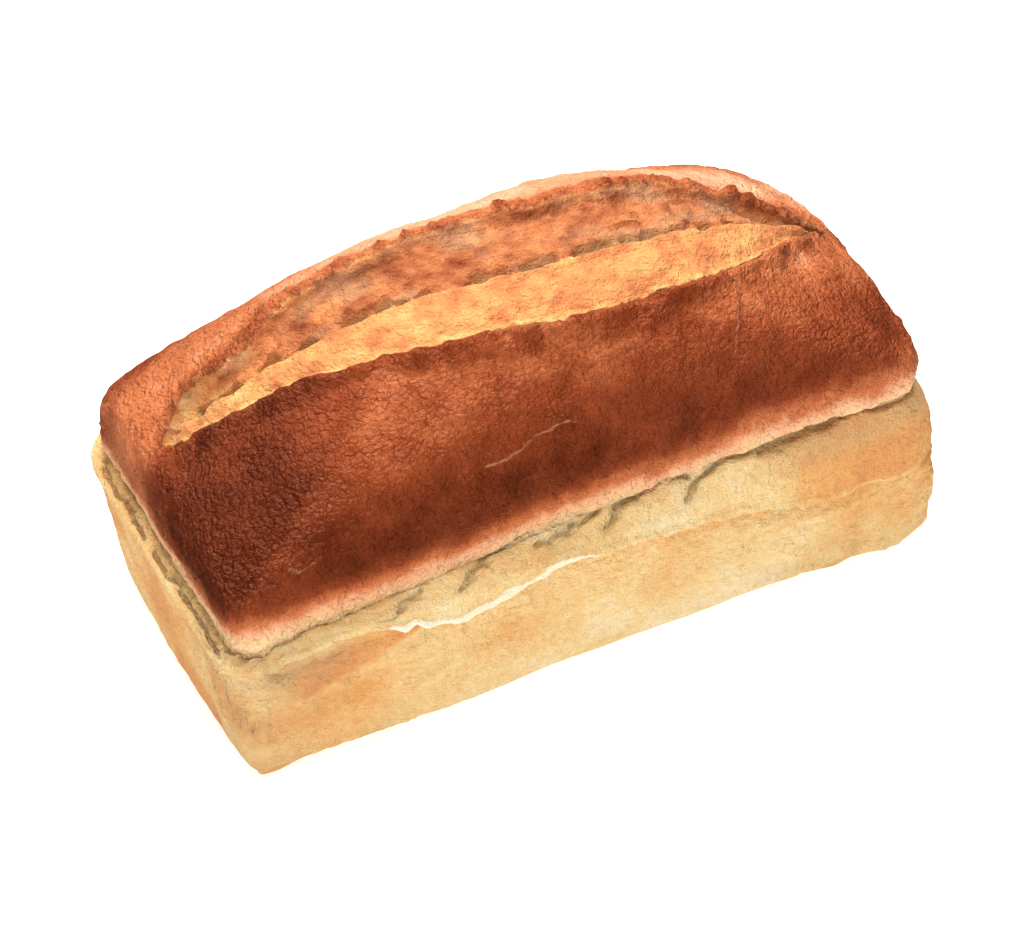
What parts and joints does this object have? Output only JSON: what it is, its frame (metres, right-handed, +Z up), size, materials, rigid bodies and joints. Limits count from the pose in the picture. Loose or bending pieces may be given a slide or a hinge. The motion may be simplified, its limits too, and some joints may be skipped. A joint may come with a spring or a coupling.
{
  "type": "tin loaf",
  "caption": "Whole loaf of white bread baked in an oblong tin, with a high split crown of brown crust over pale straight sides.",
  "frame": {"origin": "middle of the base, on the surface that the loaf stands on", "axes": "+X along the loaf's length, +Y across it towards the back, +Z up"},
  "size_m": [0.2426, 0.1284, 0.1199],
  "materials": {
    "baked_bread": "dry baked crust, slightly glossy on the brown crown and matt on the pale sides"
  },
  "bodies": {
    "root": {"loaf": "baked_bread"}
  },
  "joints": []
}
